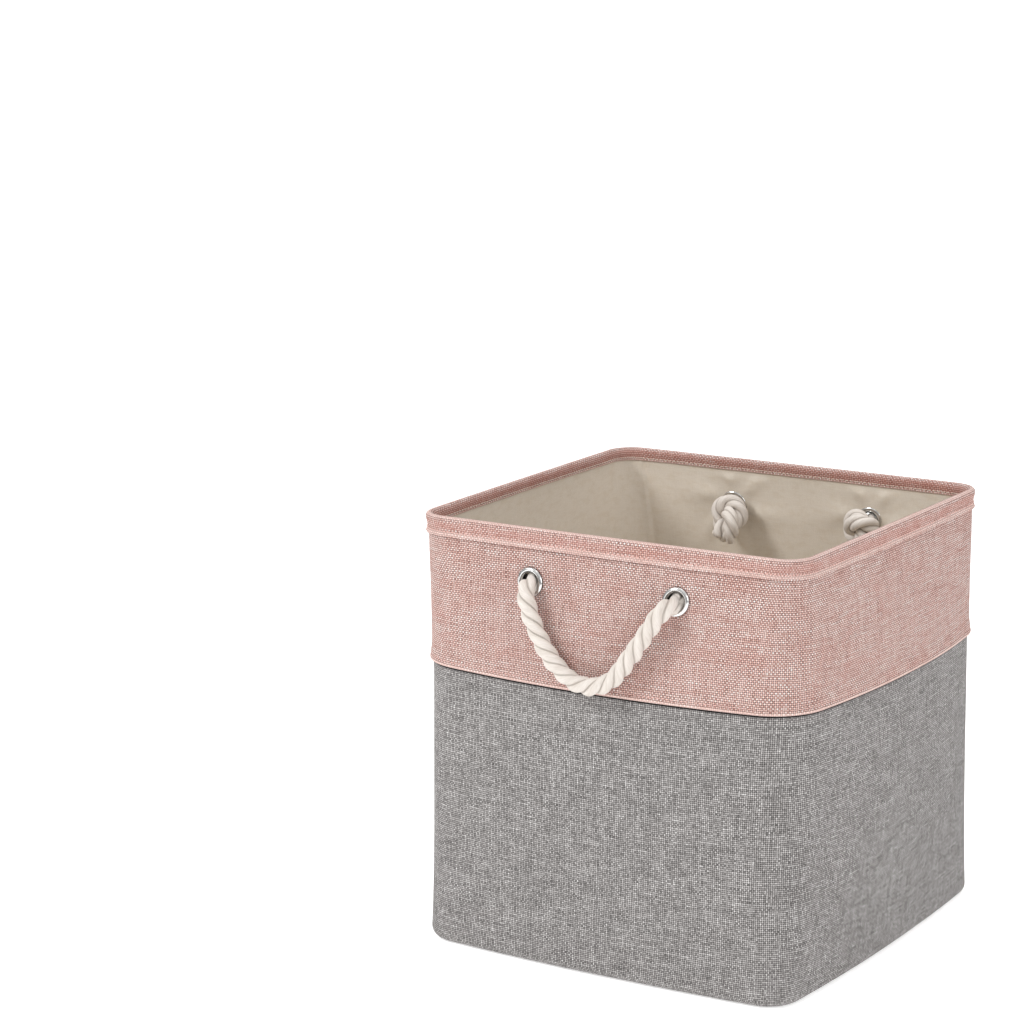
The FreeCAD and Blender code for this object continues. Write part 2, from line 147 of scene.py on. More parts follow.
def shape_at(z):
    """Half width, half depth, bow and corner radius of the shell's outer face at a height."""
    z = np.clip(z, 0, RIM_Z)
    low = (z - BAND_Z) * (z - RIM_Z) / (BAND_Z * RIM_Z)
    mid = z * (z - RIM_Z) / (BAND_Z * (BAND_Z - RIM_Z))
    top = z * (z - BAND_Z) / (RIM_Z * (RIM_Z - BAND_Z))
    triples = [
        (BASE_HALF[0], BAND_HALF[0], RIM_HALF[0]),
        (BASE_HALF[1], BAND_HALF[1], RIM_HALF[1]),
        BOWS,
        CORNERS,
    ]
    return [a * low + b * mid + c * top for a, b, c in triples]


def arc_terms(z):
    """The side arcs' radius, the corner radius, both centres and the angles where they meet, at a height."""
    half_x, half_y, bow, corner = shape_at(z)
    radius = BOW_SPAN**2 / (8 * bow)
    shift_x = radius - half_x
    shift_y = radius - half_y
    apart = np.hypot(shift_x, shift_y)
    rise = np.sqrt((radius - corner) ** 2 - apart**2 / 4)
    corner_x = rise * shift_y / apart - shift_x / 2
    corner_y = rise * shift_x / apart - shift_y / 2
    low = np.arctan2(corner_y, corner_x + shift_x)
    high = np.arctan2(corner_y + shift_y, corner_x)
    return radius, corner, shift_x, shift_y, corner_x, corner_y, low, high


def wall_point(place, z, offset):
    """Points on the wall and their outward directions. place runs from 0 to 8 round the bin: the front wall
    from its left end, the front right corner, the right wall, and so on, each one unit long. offset is from
    the shell's outer face."""
    place, z, offset = (np.asarray(value, float) for value in (place, z, offset))
    place, z, offset = np.broadcast_arrays(place % 8, z, offset)
    radius, corner, sx, sy, cx, cy, low, high = arc_terms(z)
    pi = math.pi
    centre_x = [0 * cx, cx, -sx, cx, 0 * cx, -cx, sx, -cx]
    centre_y = [sy, -cy, 0 * cy, cy, -sy, cy, 0 * cy, -cy]
    start = [high - pi, -high, -low, low, high, pi - high, pi - low, pi + low]
    stop = [-high, -low, low, high, pi - high, pi - low, pi + low, pi + high]
    part = np.minimum(place.astype(int), 7)
    share = place - part
    x = np.zeros_like(z)
    y = np.zeros_like(z)
    angle = np.zeros_like(z)
    for k in range(8):
        here = part == k
        angle = np.where(here, start[k] + (stop[k] - start[k]) * share, angle)
        reach = (radius if k % 2 == 0 else corner) + offset
        x = np.where(here, centre_x[k] + reach * np.cos(angle), x)
        y = np.where(here, centre_y[k] + reach * np.sin(angle), y)
    return np.stack([x, y, z + 0 * x], -1), np.stack([np.cos(angle), np.sin(angle), 0 * x], -1)


def travel_along(line):
    """Length from a line's start to each of its points."""
    return np.concatenate([[0], np.cumsum(np.linalg.norm(np.diff(line, axis=0), axis=1))])


# Arc length round the bin at the band's lower edge, which every cloth's width is measured along.
TABLE_PLACES = np.linspace(0, 8, 1601)
TABLE_RUNS = travel_along(wall_point(np.append(TABLE_PLACES[:-1], 0), BAND_Z, 0)[0])
GIRTH = float(TABLE_RUNS[-1])


def place_of(run):
    return np.interp(np.asarray(run) % GIRTH, TABLE_RUNS, TABLE_PLACES)


def run_of(place):
    return np.interp(np.asarray(place) % 8, TABLE_PLACES, TABLE_RUNS)


def wall_place(wall, x, z):
    """Where on the front (0) or back (4) wall a given x falls, at a height."""
    radius, _, _, _, _, _, _, high = arc_terms(z)
    turn, high = math.acos(x / float(radius)), float(high)
    if wall == 0:
        return (-turn + math.pi - high) / (math.pi - 2 * high)
    return 4 + (turn - high) / (math.pi - 2 * high)


# ---------------------------------------------------------------- eyelet seats

SIDES = (("front", 0), ("back", 4))
HANDS = ("left", "right")
SEATS = {}
for side_name, wall_index in SIDES:
    for hand in HANDS:
        eyelet_low, eyelet_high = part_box(f"{side_name}_{hand}_eyelet")
        seat_x = (eyelet_low.x + eyelet_high.x) / 2
        seat_z = (eyelet_low.z + eyelet_high.z) / 2
        place = wall_place(wall_index, seat_x, seat_z)
        SEATS[side_name, hand] = (place, float(run_of(place)), seat_z)


def seat_frame(side_name, hand, offset):
    """The point on the wall at a seat, and the directions along the wall, up it and out of it."""
    place, _, z = SEATS[side_name, hand]
    step = 1e-4
    centre = wall_point(place, z, offset)[0]
    along = wall_point(place + step, z, offset)[0] - wall_point(place - step, z, offset)[0]
    up = wall_point(place, z + step, offset)[0] - wall_point(place, z - step, offset)[0]
    along, up = Vector(along).normalized(), Vector(up).normalized()
    return Vector(centre), along, up, along.cross(up).normalized()


def seat_distance(run, z):
    """Distance along the cloth from the nearest eyelet."""
    nearest = np.full(np.broadcast(run, z).shape, 9.0)
    for _, seat_run, seat_z in SEATS.values():
        nearest = np.minimum(nearest, np.hypot(run - seat_run, z - seat_z))
    return nearest


# ---------------------------------------------------------------- swept cloth

def ease(x):
    x = np.clip(x, 0, 1)
    return x * x * (3 - 2 * x)


def waves(run, z, seed, count, shortest, tallest):
    """Smooth unevenness between 0 and 1 over the cloth, which joins up round the bin."""
    source = np.random.default_rng(seed)
    total = np.zeros(np.broadcast(run, z).shape)
    for _ in range(count):
        turns = source.integers(1, int(GIRTH / shortest))
        rise = source.uniform(-1, 1) / tallest
        total = total + np.sin(TAU * (turns * run / GIRTH + rise * z + source.uniform()))
    return 0.5 + 0.5 * total / (count**0.5 * 2)


def sag(run, z):
    """The slight unevenness of the outer cloths, which fades out at the eyelets and the rim."""
    calm = ease((seat_distance(run, z) - 0.018) / 0.03) * ease((0.322 - z) / 0.03)
    return 0.9 * MM * np.clip(waves(run, z, 5, 7, 0.10, 0.2), 0, 1) * calm


COLUMN_STEP = 3.4 * MM
ROW_STEP = 3.6 * MM
# An eyelet hole's radius, how many grid rings are rounded with it, and how far the grid shifts to it.
HOLE = 8.4 * MM
HOLE_REACH = 6
SHIFT_WHOLE = 5 * MM
SHIFT_FADE = 25 * MM


def thicken(obj, cloth, offset, even=False):
    solid = obj.modifiers.new("cloth", "SOLIDIFY")
    solid.thickness = cloth
    solid.offset = offset
    solid.use_even_offset = even


def sweep(name, profile, cloth, step=COLUMN_STEP, push=None, holes=False):
    """A cloth swept round the bin. profile lists (offset, height) pairs of one face, cloth is its thickness,
    put behind that face when it is positive and in front when it is negative. push adds to the offsets."""
    profile = np.array(profile, float)
    columns = int(round(GIRTH / step))
    first_run = run_of(5.0)
    runs = first_run + np.arange(columns) * GIRTH / columns
    lengths = np.concatenate([[0], np.cumsum(np.hypot(*np.diff(profile, axis=0).T))])
    run = np.tile(runs, (len(profile), 1))
    line = np.tile(lengths[:, None], (1, columns))
    gone = set()
    if holes:
        for _, seat_run, seat_z in SEATS.values():
            gone.add(open_hole(run, line, profile, lengths, seat_run, seat_z, columns))
    offset = np.interp(line, lengths, profile[:, 0])
    z = np.interp(line, lengths, profile[:, 1])
    if push is not None:
        offset = offset + push(run % GIRTH, z)
    points = wall_point(place_of(run), z, offset)[0].reshape(-1, 3)
    faces, _, j = grid_faces(len(profile), columns)
    if gone:
        keep = ~np.isin(faces, list(gone)).any(1)
        faces, j = faces[keep], j[keep]
    past_seam = (j == columns - 1)[:, None] & np.array([False, True, True, False])
    uvs = np.stack([run.ravel()[faces] + np.where(past_seam, GIRTH, 0), line.ravel()[faces]], -1)
    used = np.unique(faces)
    renumber = np.zeros(len(points), int)
    renumber[used] = np.arange(len(used))
    obj = new_mesh(name, points[used], renumber[faces], uvs)
    thicken(obj, abs(cloth), -1 if cloth > 0 else 1, even=True)
    return obj


def open_hole(run, line, profile, lengths, seat_run, seat_z, columns):
    """Moves the grid's points round an eyelet onto a circle, and returns the point in its middle, which is
    taken out."""
    seat_line = float(np.interp(seat_z, profile[:, 1], lengths))
    across = (run - seat_run + GIRTH / 2) % GIRTH - GIRTH / 2
    rise = line - seat_line
    middle = np.unravel_index(np.argmin(np.hypot(across, rise)), run.shape)
    fade = 1 - ease((np.hypot(across, rise) - SHIFT_WHOLE) / SHIFT_FADE)
    shift_run, shift_line = across[middle], rise[middle]
    run -= shift_run * fade
    line -= shift_line * fade
    across -= shift_run * fade
    rise -= shift_line * fade
    rows, cols = np.indices(run.shape)
    columns_off = np.minimum((cols - middle[1]) % columns, (middle[1] - cols) % columns)
    ring = np.maximum(abs(rows - middle[0]), columns_off)
    distance = np.maximum(np.hypot(across, rise), 1e-9)
    outer = HOLE_REACH * ROW_STEP
    wanted = HOLE + np.clip((ring - 1) / (HOLE_REACH - 1), 0, 1) * (outer - HOLE)
    blend = np.where((ring >= 1) & (ring < HOLE_REACH), 1 - ease((ring - 1) / (HOLE_REACH - 1)), 0)
    run += across * (wanted / distance - 1) * blend
    line += rise * (wanted / distance - 1) * blend
    return middle[0] * columns + middle[1]


def straight_rows(offset_low, offset_high, low, high, step=ROW_STEP):
    count = max(2, int(round((high - low) / step)) + 1)
    return list(zip(np.linspace(offset_low, offset_high, count), np.linspace(low, high, count)))


# ---------------------------------------------------------------- ropes

ROPE = 13 * MM
LAY = 38 * MM
ROPE_STEP = 0.8 * MM
ROPE_ROUND = 42 * MM
STRAND_DEPTH = 0.42
END_SHRINK = 0.3
LINING_FACE = -3.6
FRONT_ROUTE = [
    (-0.0570, -0.1367, 0.2875),
    (-0.0560, -0.1665, 0.2925),
    (-0.0530, -0.1705, 0.2810),
    (-0.0475, -0.1720, 0.2670),
    (-0.0380, -0.1735, 0.2505),
    (-0.0255, -0.1750, 0.2360),
    (-0.0090, -0.1765, 0.2250),
    (0.0080, -0.1770, 0.2240),
    (0.0235, -0.1765, 0.2310),
    (0.0350, -0.1750, 0.2470),
    (0.0455, -0.1735, 0.2625),
    (0.0563, -0.1720, 0.2792),
    (0.0645, -0.1685, 0.2915),
    (0.0650, -0.1367, 0.2875),
]


def spline_points(points, resolution=16):
    """Points along the smooth curve that a route's points control."""
    data = bpy.data.curves.new("route", "CURVE")
    data.dimensions = "3D"
    data.resolution_u = resolution
    spline = data.splines.new("NURBS")
    spline.points.add(len(points) - 1)
    for point, place in zip(spline.points, points):
        point.co = (*place, 1)
    spline.order_u = 3
    spline.use_endpoint_u = True
    obj = bpy.data.objects.new("route", data)
    bpy.context.scene.collection.objects.link(obj)
    mesh = bpy.data.meshes.new_from_object(obj)
    line = np.array([v.co for v in mesh.vertices])
    bpy.data.objects.remove(obj)
    bpy.data.curves.remove(data)
    bpy.data.meshes.remove(mesh)
    return line


def even_points(line, step):
    """The same line in even steps, with two directions square to it that don't spin."""
    travel = travel_along(line)
    count = int(round(travel[-1] / step)) + 1
    run = np.linspace(0, travel[-1], count)
    points = np.stack([np.interp(run, travel, line[:, k]) for k in range(3)], 1)
    for _ in range(4):
        points[1:-1] = 0.5 * points[1:-1] + 0.25 * (points[:-2] + points[2:])
    ahead = np.gradient(points, axis=0)
    ahead /= np.linalg.norm(ahead, axis=1)[:, None]
    side = np.cross(ahead[0], (0.1, 0.2, 1.0))
    sides = []
    for direction in ahead:
        side = side - direction * (side @ direction)
        side = side / np.linalg.norm(side)
        sides.append(side)
    sides = np.array(sides)
    return run, points, sides, np.cross(ahead, sides)


def lobes(turn):
    """The outline of three strands laid together, as a share of the rope's radius, at angles round it."""
    off = (turn + math.pi / 3) % (TAU / 3) - math.pi / 3
    centre, strand = STRAND_DEPTH, 1 - STRAND_DEPTH
    return centre * np.cos(off) + np.sqrt(strand**2 - (centre * np.sin(off)) ** 2)


def rope_mesh(name, line, diameter, around=72, start_turn=0.0, round_ends=True):
    """A three-strand rope that follows a line. Its UVs are metres round and along the twisted strands."""
    run, points, side, other = even_points(line, ROPE_STEP)
    turns = np.arange(around) * TAU / around
    twist = start_turn - TAU * run / LAY
    radius = np.full(len(run), diameter / 2)
    if round_ends:
        for from_end in (run, run[-1] - run):
            gap = np.clip(from_end / (END_SHRINK * diameter), 0, 1)
            radius = radius * np.sqrt(np.clip(1 - (1 - gap) ** 2, 0.03, 1))
    uneven = 1 + 0.02 * np.sin(TAU * run / 0.041 + 1) + 0.015 * np.sin(TAU * run / 0.017)
    outline = lobes(turns)
    reach = radius[:, None] * uneven[:, None] * outline[None, :]
    angle = turns[None, :] + twist[:, None]
    rings = points[:, None] + reach[..., None] * (
        np.cos(angle)[..., None] * side[:, None] + np.sin(angle)[..., None] * other[:, None]
    )
    faces, i, j = grid_faces(len(run), around)
    u = np.stack([j, j + 1, j + 1, j], 1) / around * ROPE_ROUND
    v = np.stack([run[i], run[i], run[i + 1], run[i + 1]], 1)
    uvs = list(np.stack([u, v], -1).reshape(-1, 2))
    all_points = list(rings.reshape(-1, 3)) + [points[0], points[-1]]
    all_faces = [tuple(f) for f in faces]
    middle = len(run) * around
    last = middle - around
    for k in range(around):
        after = (k + 1) % around
        all_faces.append((after, k, middle))
        all_faces.append((last + k, last + after, middle + 1))
        uvs += [(k * 0.0005, 0), (k * 0.0005, 0.0005), (0.001, 0.001)] * 2
    return new_mesh(name, all_points, all_faces, uvs)


# ---------------------------------------------------------------- materials

# Socket numbers: the object's own coordinates, and the colour sockets of a mix.
OBJECT_PLACE = 3
MIX_ONE, MIX_OTHER, MIX_COLOUR = 6, 7, 2


class Graph:
    """Builds one material's nodes."""

    def __init__(self, name, roughness, metallic=0.0, sheen=0.0, specular=0.5):
        self.material = bpy.data.materials.new(name)
        self.material.use_nodes = True
        self.tree = self.material.node_tree
        self.tree.nodes.clear()
        self.shader = self.tree.nodes.new("ShaderNodeBsdfPrincipled")
        output = self.tree.nodes.new("ShaderNodeOutputMaterial")
        self.tree.links.new(self.shader.outputs[0], output.inputs[0])
        self.shader.inputs["Roughness"].default_value = roughness
        self.shader.inputs["Metallic"].default_value = metallic
        self.shader.inputs["Sheen Weight"].default_value = sheen
        self.shader.inputs["Specular IOR Level"].default_value = specular

    def add(self, kind, inputs=(), output=0, **settings):
        node = self.tree.nodes.new(kind)
        for key, value in settings.items():
            setattr(node, key, value)
        for key, value in dict(inputs).items():
            if isinstance(value, bpy.types.NodeSocket):
                self.tree.links.new(value, node.inputs[key])
            elif value is not None:
                node.inputs[key].default_value = value
        return node.outputs[output]

    def math(self, operation, *values):
        return self.add("ShaderNodeMath", enumerate(values), operation=operation)

    def uv(self):
        uv = self.add("ShaderNodeUVMap", uv_map="UVMap")
        node = self.tree.nodes.new("ShaderNodeSeparateXYZ")
        self.tree.links.new(uv, node.inputs[0])
        return node.outputs[0], node.outputs[1]

    def pair(self, x, y):
        return self.add("ShaderNodeCombineXYZ", {0: x, 1: y, 2: 0.0})

    def noise(self, vector, scale, detail=2.0, roughness=0.5):
        inputs = {"Vector": vector, "Scale": scale, "Detail": detail, "Roughness": roughness}
        return self.add("ShaderNodeTexNoise", inputs)

    def chance(self, vector):
        return self.add("ShaderNodeTexWhiteNoise", {"Vector": vector}, noise_dimensions="2D")

    def blend(self, share, one, other, blend_type="MIX"):
        inputs = {"Factor": share, MIX_ONE: one, MIX_OTHER: other}
        return self.add("ShaderNodeMix", inputs, output=MIX_COLOUR, data_type="RGBA", blend_type=blend_type)

    def blend_value(self, share, one, other):
        return self.add("ShaderNodeMix", {0: share, 2: one, 3: other}, data_type="FLOAT")

    def ramp(self, value, stops):
        node = self.tree.nodes.new("ShaderNodeValToRGB")
        self.tree.links.new(value, node.inputs[0])
        elements = node.color_ramp.elements
        while len(elements) < len(stops):
            elements.new(0.5)
        for element, (place, colour) in zip(elements, stops):
            element.position = place
            element.color = (*linear(colour), 1)
        return node.outputs[0]

    def span(self, value, low, high, to_low=0.0, to_high=1.0):
        inputs = {0: value, 1: low, 2: high, 3: to_low, 4: to_high}
        return self.add("ShaderNodeMapRange", inputs, interpolation_type="SMOOTHSTEP")

    def finish(self, colour, height=None, distance=0.0003, strength=1.0, roughness=None):
        self.tree.links.new(colour, self.shader.inputs["Base Color"])
        if roughness is not None:
            self.tree.links.new(roughness, self.shader.inputs["Roughness"])
        if height is not None:
            bump = self.add("ShaderNodeBump", {"Strength": strength, "Distance": distance, "Height": height})
            self.tree.links.new(bump, self.shader.inputs["Normal"])
        return self.material


def linear(colour):
    """Linear light from 0 to 255 screen values."""
    parts = [c / 255 for c in colour]
    return [c / 12.92 if c <= 0.04045 else ((c + 0.055) / 1.055) ** 2.4 for c in parts]


def cloth_pitch(wanted):
    """The thread spacing nearest to the wanted one that goes a whole even number of times round the bin."""
    return GIRTH / (2 * round(GIRTH / wanted / 2))


YARN_WANDER = 45.0
YARN_ALONG = 1.7
YARN_ACROSS = 2.7


def woven(name, pitch, warp, weft, gap, patch, slub, tone=0.6, fleck=0.2, streak=0.1, gap_shade_reach=0.4,
          patch_share=0.3, height=0.35, roughness=0.88, sheen=0.04, lines=()):
    """A plain weave of slubby yarns. warp and weft list the colour stops of the upright and level yarns, gap
    is the painted shade between yarns, and patch the tint that the cloth leans to in places. slub is how fast
    a yarn's tone changes along it, and tone, fleck and streak how much it changes along the yarn, at each
    crossing and from yarn to yarn. gap_shade_reach is how wide the painted gap shade is and height how tall
    the yarns, in mm. lines lists level lines of painted highlight and painted shade on the cloth's folds and
    under its edges: height up the cloth and reach in mm, share and colour."""
    g = Graph(name, roughness, sheen=sheen, specular=0.2)
    x, y = g.uv()
    run_up = y
    across = cloth_pitch(pitch[0])
    wander_x = g.noise(g.pair(x, y), YARN_WANDER, 2.0)
    wander_y = g.noise(g.pair(y, x), YARN_WANDER, 2.0)
    x = g.math("ADD", g.math("DIVIDE", x, across), g.math("MULTIPLY_ADD", wander_x, 1.0, -0.5))
    y = g.math("ADD", g.math("DIVIDE", y, pitch[1]), g.math("MULTIPLY_ADD", wander_y, 1.0, -0.5))
    column, row = g.math("FLOOR", x), g.math("FLOOR", y)
    in_x = g.math("SUBTRACT", g.math("FRACT", x), 0.5)
    in_y = g.math("SUBTRACT", g.math("FRACT", y), 0.5)
    over = g.math("ABSOLUTE", g.math("MODULO", g.math("ADD", column, row), 2.0))
    dust = g.math("MULTIPLY_ADD", g.chance(g.pair(column, row)), fleck, -0.5 * fleck)
    # Each yarn reads its tone on a line of its own, far from its neighbours' in the noise.
    along_warp = g.pair(g.math("MULTIPLY", column, 7.37), g.math("MULTIPLY", y, slub))
    along_weft = g.pair(g.math("MULTIPLY", x, slub), g.math("MULTIPLY_ADD", row, 9.13, 31.7))
    warp_tone = g.noise(along_warp, 1.0, 2.0, 0.6)
    weft_tone = g.noise(along_weft, 1.0, 2.0, 0.6)
    upright = g.noise(g.pair(g.math("MULTIPLY", column, 5.13), g.math("MULTIPLY", y, 0.07)), 1.0, 1.0)
    level = g.noise(g.pair(g.math("MULTIPLY", x, 0.06), g.math("MULTIPLY", row, 6.71)), 1.0, 1.0)
    dust = g.math("ADD", dust, 0.5 - 0.5 * tone - 0.5 * streak)
    warp_tone = g.math("MULTIPLY_ADD", warp_tone, tone, g.math("MULTIPLY_ADD", upright, streak, dust))
    weft_tone = g.math("MULTIPLY_ADD", weft_tone, tone, g.math("MULTIPLY_ADD", level, streak, dust))
    warp_colour, weft_colour = g.ramp(warp_tone, warp), g.ramp(weft_tone, weft)
    colour = g.blend(over, weft_colour, warp_colour)
    broad = g.noise(g.pair(g.math("MULTIPLY", x, 0.05), g.math("MULTIPLY", y, 0.09)), 1.0, 3.0, 0.6)
    patches = g.math("MULTIPLY", g.span(broad, 0.42, 0.7), patch_share)
    colour = g.blend(patches, colour, (*linear(patch), 1), "MULTIPLY")
    # The yarn on top is narrow across and long along itself.
    round_x = g.math("COSINE", g.math("MULTIPLY", in_x, g.blend_value(over, YARN_ALONG, YARN_ACROSS)))
    round_y = g.math("COSINE", g.math("MULTIPLY", in_y, g.blend_value(over, YARN_ACROSS, YARN_ALONG)))
    rise = g.math("SUBTRACT", g.math("ADD", round_x, round_y), 1.0)
    # Painted shade: the gaps between yarns are darkened towards the gap colour.
    colour = g.blend(g.span(rise, gap_shade_reach, 0.0), colour, (*linear(gap), 1))
    # Painted highlights and painted shade along level lines up the cloth.
    for middle, reach, share, tint in lines:
        near = g.math("ABSOLUTE", g.math("SUBTRACT", run_up, middle * MM))
        colour = g.blend(g.span(near, reach * MM, 0.3 * reach * MM, 0.0, share), colour, (*linear(tint), 1))
    return g.finish(colour, rise, height * MM, 0.7)


# Painted shadow: a dark line on the grey cloth just below the band's overhanging lower edge.
PAINTED_SHADOW_UNDER_BAND = (24, 20, 20)
GREY = woven(
    "grey_linen_weave", (1.5 * MM, 1.5 * MM),
    [(0.3, (98, 95, 94)), (0.45, (164, 160, 158)), (0.56, (208, 204, 202)), (0.7, (252, 250, 248))],
    [(0.3, (88, 85, 84)), (0.45, (152, 148, 146)), (0.56, (198, 194, 192)), (0.7, (250, 247, 245))],
    (6, 6, 6), (230, 226, 225), slub=0.35, tone=0.3, fleck=0.11, streak=0.32, gap_shade_reach=1.16,
    patch_share=0.15, lines=[(223.6, 1.4, 0.96, PAINTED_SHADOW_UNDER_BAND)],
)


def pink(name, lines):
    return woven(
        name, (1.45 * MM, 1.55 * MM),
        [(0.3, (160, 116, 106)), (0.5, (214, 170, 159)), (0.7, (246, 218, 210))],
        [(0.3, (204, 166, 156)), (0.48, (242, 214, 206)), (0.68, (255, 248, 244))],
        (44, 18, 14), (240, 206, 198), slub=0.35, tone=0.35, fleck=0.09, streak=0.5, gap_shade_reach=1.09,
        lines=lines,
    )


# Painted highlight along folds and ridges that face the light, and painted shade in the binding's hollows
# between them.
PAINTED_FOLD_HIGHLIGHT = (246, 216, 207)
PAINTED_FOLD_SHADE = (182, 116, 101)
PINK_BAND = pink("pink_band_weave", [(1.6, 1.8, 0.45, PAINTED_FOLD_HIGHLIGHT)])
PINK_RIM = pink("pink_rim_weave", [
    (4.0, 2.2, 0.32, PAINTED_FOLD_HIGHLIGHT), (9.8, 5.2, 0.24, PAINTED_FOLD_SHADE), (17.6, 2.4, 0.42, PAINTED_FOLD_HIGHLIGHT),
    (26.0, 5.0, 0.4, PAINTED_FOLD_SHADE), (31.6, 1.6, 0.6, PAINTED_FOLD_HIGHLIGHT),
])
LINING = woven(
    "cream_lining_weave", (0.5 * MM, 0.5 * MM),
    [(0.3, (212, 202, 188)), (0.7, (228, 219, 206))],
    [(0.3, (216, 206, 192)), (0.7, (232, 223, 210))],
    (196, 185, 169), (236, 228, 215), slub=0.05, fleck=0.05, height=0.05, roughness=0.75, sheen=0.05,
)


def cotton(name, light, dark, painted_groove_shade, strand_pitch):
    """Soft cotton yarns laid side by side along a strand, with painted shade in the grooves between strands.
    """
    g = Graph(name, 0.92, sheen=0.15, specular=0.15)
    x, y = g.uv()
    strand = g.math("COSINE", g.math("MULTIPLY", x, 3 * TAU / ROPE_ROUND))
    slant = g.math("MULTIPLY_ADD", y, 0.35, x)
    yarns = g.pair(g.math("DIVIDE", slant, strand_pitch), g.math("DIVIDE", y, strand_pitch * 9))
    fine = g.noise(yarns, 1.0, 4.0, 0.6)
    broad = g.noise(g.pair(g.math("MULTIPLY", x, 120.0), g.math("MULTIPLY", y, 60.0)), 1.0, 3.0, 0.6)
    colour = g.ramp(g.blend_value(0.4, fine, broad), [(0.25, dark), (0.6, light)])
    # Painted shade darkens the grooves between the strands.
    colour = g.blend(g.span(strand, -0.75, -1.0, 0.0, 0.45), colour, (*linear(painted_groove_shade), 1))
    return g.finish(colour, fine, 0.35 * MM, 0.7)


# The last colour is the painted shade in the grooves between strands.
ROPE_COTTON = cotton("cotton_rope_yarn", (226, 219, 212), (190, 179, 168), (124, 111, 99), 0.55 * MM)


def thread(name, light, dark):
    g = Graph(name, 0.6, sheen=0.1, specular=0.4)
    x, y = g.uv()
    ply = g.math("SINE", g.math("ADD", g.math("MULTIPLY", x, 6000.0), g.math("MULTIPLY", y, 9000.0)))
    dust = g.noise(g.pair(x, y), 900.0, 2.0)
    shade = g.blend_value(0.5, g.math("MULTIPLY_ADD", ply, 0.5, 0.5), dust)
    colour = g.ramp(shade, [(0.1, dark), (0.8, light)])
    return g.finish(colour, ply, 0.05 * MM, 0.6)


PINK_THREAD = thread("pink_thread_twist", (240, 205, 196), (212, 160, 150))
CREAM_THREAD = thread("cream_thread_twist", (238, 228, 212), (204, 190, 170))


def object_noise(g, scale, detail=4.0, stretch=(1, 1, 1)):
    place = g.add("ShaderNodeTexCoord", output=OBJECT_PLACE)
    mapping = g.add("ShaderNodeMapping", {0: place, 3: stretch})
    return g.noise(mapping, scale, detail, 0.6)


def nickel(name, painted_shades):
    """Plated metal. painted_shades lists how much painted shade it gets at places along its section, by UV
    height:
    shadow and dark reflections in its crevices and throat, with a little patina in the hollows.
    """
    g = Graph(name, 0.16, metallic=1.0)
    smear = object_noise(g, 260.0)
    colour = g.ramp(smear, [(0.3, (200, 200, 199)), (0.7, (236, 235, 233))])
    _, section = g.uv()
    # Painted shade, standing for shadow and dark reflections with a little patina, darkens rings along the
    # section.
    for middle, reach, share in painted_shades:
        near = g.math("ABSOLUTE", g.math("SUBTRACT", section, middle))
        colour = g.blend(g.span(near, reach, 0.4 * reach, 0.0, share), colour, (*linear((34, 32, 31)), 1))
    return g.finish(colour, object_noise(g, 900.0), 0.02 * MM, 0.25, g.span(smear, 0.3, 0.75, 0.10, 0.26))


def board():
    g = Graph("stiff_polypropylene", 0.55, specular=0.4)
    grain = object_noise(g, 420.0, 6.0, (1, 1, 0.3))
    colour = g.ramp(grain, [(0.25, (220, 220, 217)), (0.75, (234, 234, 231))])
    return g.finish(colour, grain, 0.04 * MM, 0.5)


def steel():
    g = Graph("drawn_steel_wire", 0.35, metallic=1.0)
    drawn = object_noise(g, 700.0, 4.0)
    colour = g.ramp(drawn, [(0.3, (138, 138, 140)), (0.7, (190, 190, 190))])
    return g.finish(colour, drawn, 0.02 * MM, 0.4, g.span(drawn, 0.3, 0.8, 0.28, 0.5))


# The eyelet's painted shade rings: its outer edge, a thin line on the inner slope and its throat.
NICKEL = nickel("polished_nickel", [(0.07, 0.07, 0.9), (0.345, 0.03, 0.9), (0.53, 0.11, 0.92)])
# The washer's painted shade ring near its outer edge.
WASHER_NICKEL = nickel("washer_nickel", [(0.3, 0.08, 0.8)])
BOARD = board()
STEEL = steel()


# ---------------------------------------------------------------- the ropes

def mirrored(points):
    return [(x, -y, z) for x, y, z in points]


# The strands' crowns stand a little proud of the rope's nominal diameter.
ROPE_SWELL = 1.05
ROPE_ROUTES = {"front": FRONT_ROUTE, "back": mirrored(FRONT_ROUTE)}
rope_lines = {}
for side_name, _ in SIDES:
    line = spline_points(ROPE_ROUTES[side_name])
    rope = rope_mesh(f"{side_name}_rope", line, ROPE * ROPE_SWELL, round_ends=False)
    facing = -1 if side_name == "front" else 1
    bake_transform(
        rope, "bin", f"{side_name}_handle",
        start=(0, facing * 158 * MM, 0.293), end=(0, facing * 170 * MM, 0.286),
    )
    rope_nodes = [f"{side_name}_rope_loop"] + [f"{side_name}_{hand}_rope_end" for hand in HANDS]
    settle(rope, "bin", ROPE_COTTON, rope_nodes)
    rope_lines[side_name] = line


# ---------------------------------------------------------------- knots

# A tight knot's length, as a multiple of the rope's girth that it is drawn up to.
TIGHT_LENGTH = 11.8


